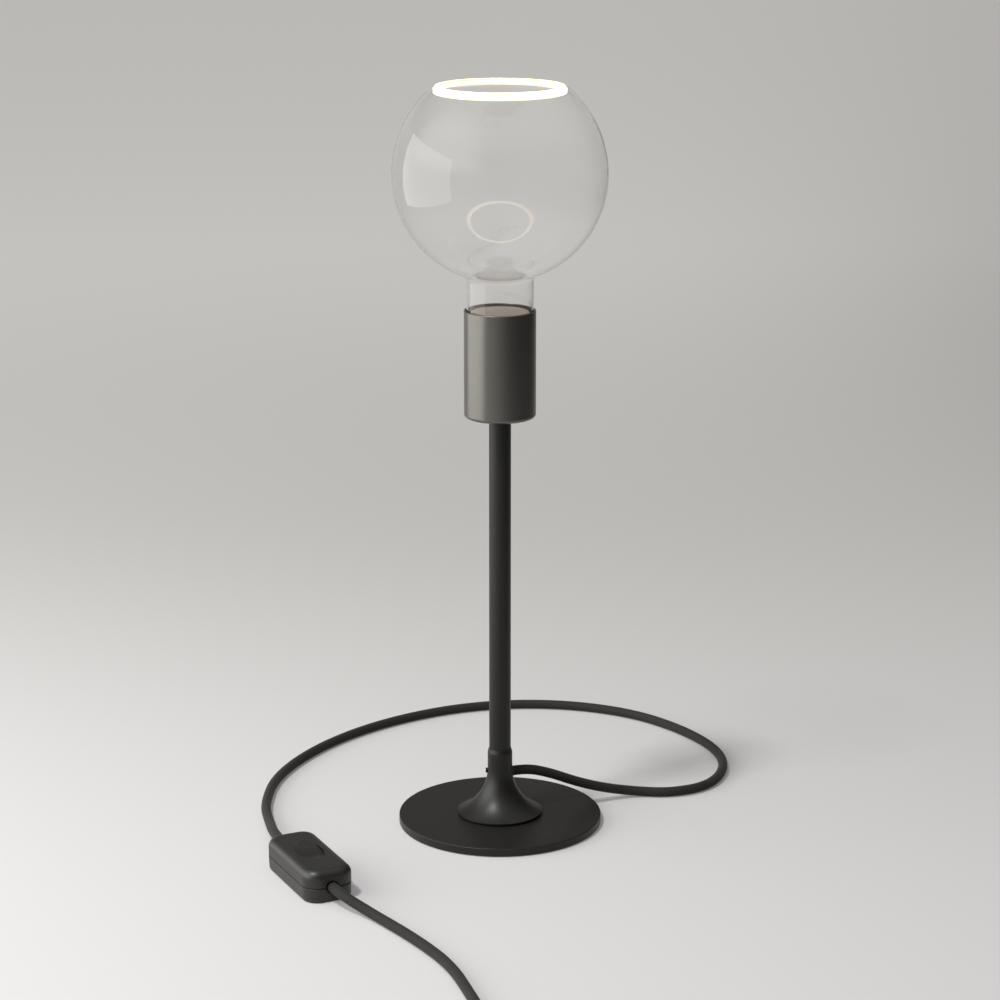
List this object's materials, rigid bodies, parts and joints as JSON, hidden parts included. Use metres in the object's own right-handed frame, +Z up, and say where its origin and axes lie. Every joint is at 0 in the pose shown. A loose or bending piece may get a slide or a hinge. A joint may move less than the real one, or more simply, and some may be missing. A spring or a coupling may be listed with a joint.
{
  "type": "bare bulb table lamp",
  "caption": "Table lamp with a round plate foot, thin upright stem, cylindrical cup lampholder, large clear globe bulb with a light ring, and a corded in-line switch.",
  "frame": {"origin": "centre of the foot on the surface that the lamp stands on", "axes": "+Z up the stem, -Y towards the viewer of the picture, +X to the viewer's right"},
  "size_m": [0.3062, 0.5958, 0.4462],
  "materials": {
    "dark_metal": "matte charcoal powder coat",
    "felt": "black felt",
    "zinc_steel": "zinc plated",
    "black_steel": "blackened",
    "black_plastic": "fine matte",
    "black_gloss": "semi-gloss",
    "cord_braid": "black textile braid",
    "black_fabric": "woven strap",
    "core_sleeve": "extruded insulation",
    "holder_plastic": "moulded",
    "ceramic": "glazed ceramic",
    "brass": "stamped",
    "solder": "tinned",
    "black_glaze": "fused glass insulator",
    "nickel": "nickel plated",
    "clear_glass": "clear blown glass",
    "ring_diffuser": "lit warm white diffuser",
    "clear_film": "clear flexible strip",
    "white_plastic": "moulded",
    "copper_mirror": "polished copper tone",
    "circuit_board": "lacquered board"
  },
  "bodies": {
    "lamp": {"base_plate": "dark_metal", "base_pad": "felt", "base_bell": "dark_metal", "stem_tube": "dark_metal", "lower_nipple": "zinc_steel", "nipple_washer": "zinc_steel", "nipple_nut": "zinc_steel", "grub_screw": "black_steel", "cord_bush": "black_plastic", "stem_cord": "cord_braid", "cord_cores": "core_sleeve", "upper_nipple": "zinc_steel", "lampholder_cup": "dark_metal", "holder_cap": "holder_plastic", "holder_block": "ceramic", "holder_shell": "holder_plastic", "centre_contact": "brass", "side_contact": "brass", "holder_terminals": "brass", "holder_screws": "zinc_steel", "switch_base": "black_plastic", "switch_cover": "black_plastic", "switch_contacts": "brass", "switch_screws": "zinc_steel", "cord_clamps": "zinc_steel", "switch_cores": "core_sleeve", "cord_lamp_side": "cord_braid", "cord_plug_side": "cord_braid", "cord_coil": "cord_braid", "coil_tie": "black_fabric", "cord_plug_lead": "cord_braid", "plug_relief": "black_plastic", "plug_body": "black_plastic", "plug_pins": "nickel"},
    "bulb_contact": {"bulb_tip_contact": "solder"},
    "bulb": {"bulb_cap_insulator": "black_glaze", "bulb_cap_shell": "nickel", "bulb_glass": "clear_glass", "led_ring": "ring_diffuser", "ring_leads": "clear_film", "driver_housing": "white_plastic", "driver_cover": "copper_mirror", "driver_board": "circuit_board", "driver_parts": "black_plastic"},
    "rocker": {"switch_rocker": "black_gloss", "contact_bridge": "brass"}
  },
  "joints": [
    {"name": "bulb_rise", "type": "slide", "parent": "lamp", "child": "bulb_contact", "axis": [0, 0, 1], "range_m": [0, 0.0218]},
    {"name": "bulb_turn", "type": "hinge", "parent": "bulb_contact", "child": "bulb", "pos_m": [0, 0, 0.3], "axis": [0, 0, 1], "range_deg": [0, 2160]},
    {"name": "switch_rock", "type": "hinge", "parent": "lamp", "child": "rocker", "pos_m": [-0.1092, -0.0974, 0.013], "axis": [-0.9003, -0.4352, 0], "range_deg": [0, 14]}
  ],
  "couplings": [
    {"joint": "bulb_rise", "follows": "bulb_turn", "m_per_rad": 0.00057757}
  ]
}
